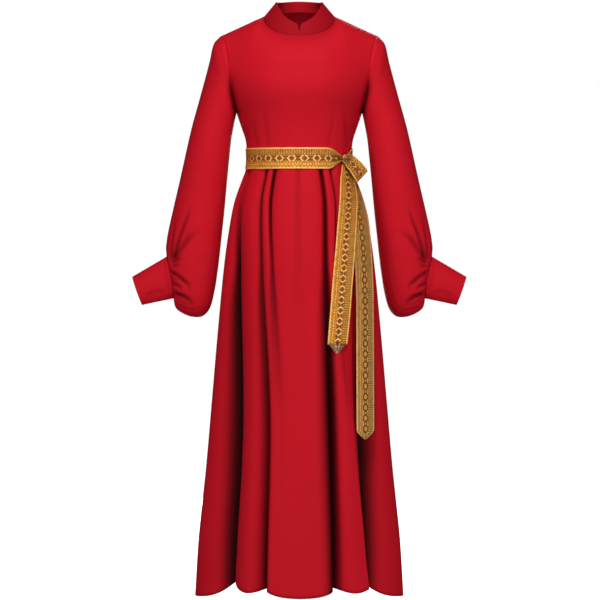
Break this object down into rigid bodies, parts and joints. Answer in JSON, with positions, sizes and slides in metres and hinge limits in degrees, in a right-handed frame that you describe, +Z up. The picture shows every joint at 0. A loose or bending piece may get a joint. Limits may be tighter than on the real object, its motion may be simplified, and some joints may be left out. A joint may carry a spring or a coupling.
{
  "type": "long-sleeved stand-collar maxi dress with patterned sash",
  "caption": "Full-length red dress in its worn form, with a notched stand collar, balloon sleeves gathered into wide cuffs, a flared skirt and a gold patterned sash tied at the left waist.",
  "frame": {"origin": "midway between the two points where the collar meets the shoulder seams, where the wearer's shoulders hold the dress up", "axes": "+Z up, -Y the front of the dress, +X the wearer's left"},
  "size_m": [0.8016, 0.428, 1.4321],
  "materials": {
    "dress_cloth": "red crepe with a soft satin sheen",
    "sash_brocade": "woven gold and brown brocade with pale gold borders and small repeated medallions"
  },
  "bodies": {
    "root": {"bodice_front": "dress_cloth", "bodice_back_left": "dress_cloth", "bodice_back_right": "dress_cloth", "collar": "dress_cloth", "sleeve_left": "dress_cloth", "sleeve_right": "dress_cloth", "cuff_left": "dress_cloth", "cuff_right": "dress_cloth", "skirt_front": "dress_cloth", "skirt_back_left": "dress_cloth", "skirt_back_right": "dress_cloth", "sash_band": "sash_brocade", "sash_knot": "sash_brocade", "sash_loop": "sash_brocade", "sash_tail_short": "sash_brocade", "sash_tail_long": "sash_brocade"}
  },
  "joints": []
}
